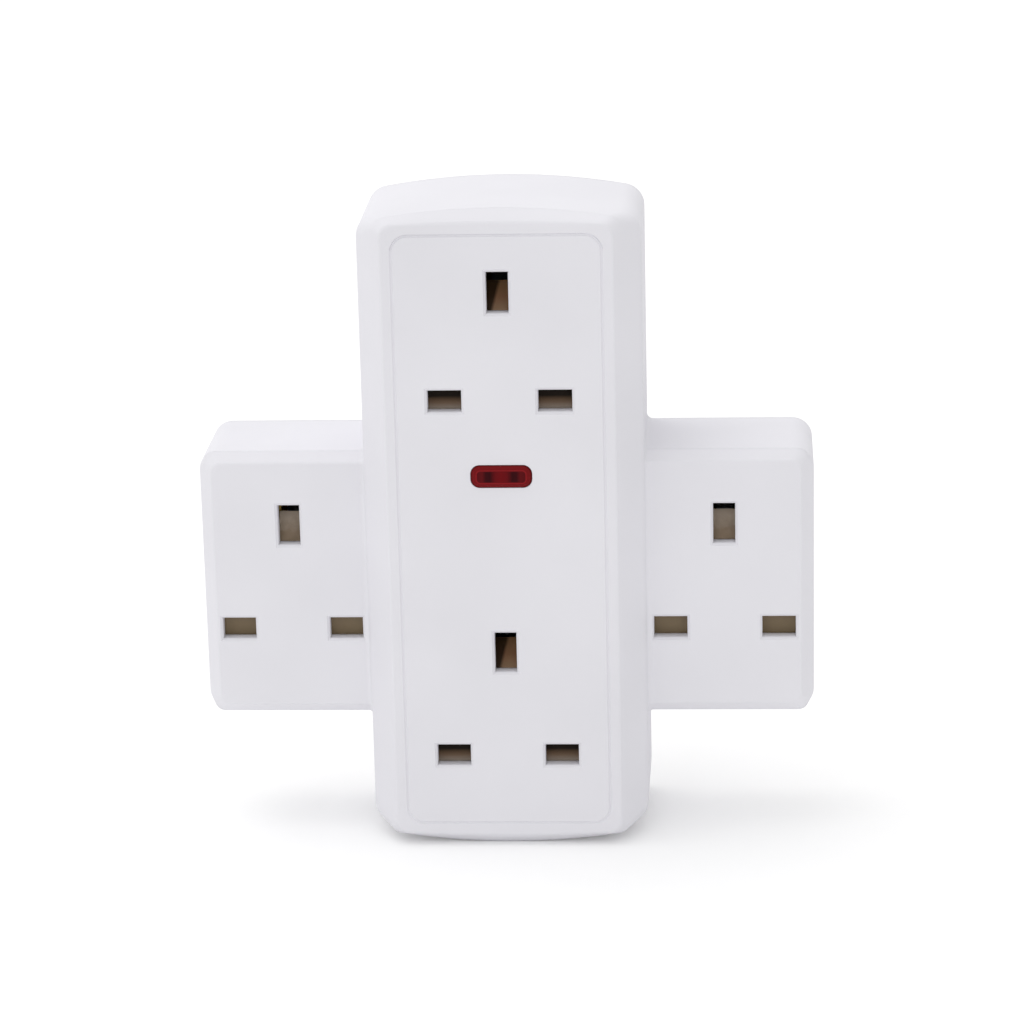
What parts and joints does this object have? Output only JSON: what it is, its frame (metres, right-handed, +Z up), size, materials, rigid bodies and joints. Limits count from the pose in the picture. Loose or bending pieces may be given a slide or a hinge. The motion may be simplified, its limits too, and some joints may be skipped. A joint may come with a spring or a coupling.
{
  "type": "multi socket adapter",
  "caption": "Cross-shaped plug-in mains adapter: an upright bevelled column with sockets above and below a neon indicator, and a recessed socket wing on each side.",
  "frame": {"origin": "on the rear face, midway between the line and neutral plug pins", "axes": "+X to the right seen from the front, +Y out of the rear along the plug pins, +Z up towards the earth pin"},
  "size_m": [0.1258, 0.0582, 0.1342],
  "materials": {
    "case": "white moulded, satin gloss",
    "drawer": "white moulded, satin gloss",
    "lens": "clear red moulded",
    "lamp_glass": "clear glass",
    "resistor": "lacquered, with wire leads",
    "tinned_wire": "tinned wire",
    "brass_strip": "stamped strip",
    "brass_pin": "machined",
    "sleeve": "black moulded",
    "fuse_body": "off-white ceramic",
    "fuse_cap": "nickel-plated",
    "shutter": "grey-brown moulded",
    "spring_steel": "spring strip",
    "retainer": "dark moulded",
    "screw_steel": "zinc-plated"
  },
  "bodies": {
    "case": {"front_housing": "case", "rear_cover": "case", "indicator_lens": "lens", "neon_lamp": "lamp_glass", "ballast_resistor": "resistor", "lamp_lead": "tinned_wire", "line_busbar": "brass_strip", "neutral_busbar": "brass_strip", "earth_busbar": "brass_strip", "line_pin": "brass_pin", "neutral_pin": "brass_pin", "earth_pin": "brass_pin", "line_pin_sleeve": "sleeve", "neutral_pin_sleeve": "sleeve", "fuse_supply_clip": "brass_strip", "fuse_load_clip": "brass_strip", "upper_shutter_spring": "spring_steel", "upper_shutter_retainer": "retainer", "lower_shutter_spring": "spring_steel", "lower_shutter_retainer": "retainer", "left_shutter_spring": "spring_steel", "left_shutter_retainer": "retainer", "right_shutter_spring": "spring_steel", "right_shutter_retainer": "retainer", "screw_upper_left": "screw_steel", "screw_upper_right": "screw_steel", "screw_lower_left": "screw_steel", "screw_lower_right": "screw_steel", "screw_left_wing": "screw_steel", "screw_right_wing": "screw_steel"},
    "upper_shutter_body": {"upper_shutter": "shutter"},
    "lower_shutter_body": {"lower_shutter": "shutter"},
    "left_shutter_body": {"left_shutter": "shutter"},
    "right_shutter_body": {"right_shutter": "shutter"},
    "fuse_drawer_body": {"fuse_drawer": "drawer", "fuse_barrel": "fuse_body", "fuse_cap_lower": "fuse_cap", "fuse_cap_upper": "fuse_cap"}
  },
  "joints": [
    {"name": "upper_shutter_drop", "type": "slide", "parent": "case", "child": "upper_shutter_body", "axis": [0, 0, -1], "range_m": [0, 0.00522], "stiffness_N_per_m": 200, "springref_m": -0.004, "deforming": ["upper_shutter_spring"]},
    {"name": "lower_shutter_drop", "type": "slide", "parent": "case", "child": "lower_shutter_body", "axis": [0, 0, -1], "range_m": [0, 0.00522], "stiffness_N_per_m": 200, "springref_m": -0.004, "deforming": ["lower_shutter_spring"]},
    {"name": "left_shutter_drop", "type": "slide", "parent": "case", "child": "left_shutter_body", "axis": [0, 0, -1], "range_m": [0, 0.00522], "stiffness_N_per_m": 200, "springref_m": -0.004, "deforming": ["left_shutter_spring"]},
    {"name": "right_shutter_drop", "type": "slide", "parent": "case", "child": "right_shutter_body", "axis": [0, 0, -1], "range_m": [0, 0.00522], "stiffness_N_per_m": 200, "springref_m": -0.004, "deforming": ["right_shutter_spring"]},
    {"name": "fuse_drawer_slide", "type": "slide", "parent": "case", "child": "fuse_drawer_body", "axis": [0, 1, 0], "range_m": [0, 0.012]}
  ]
}
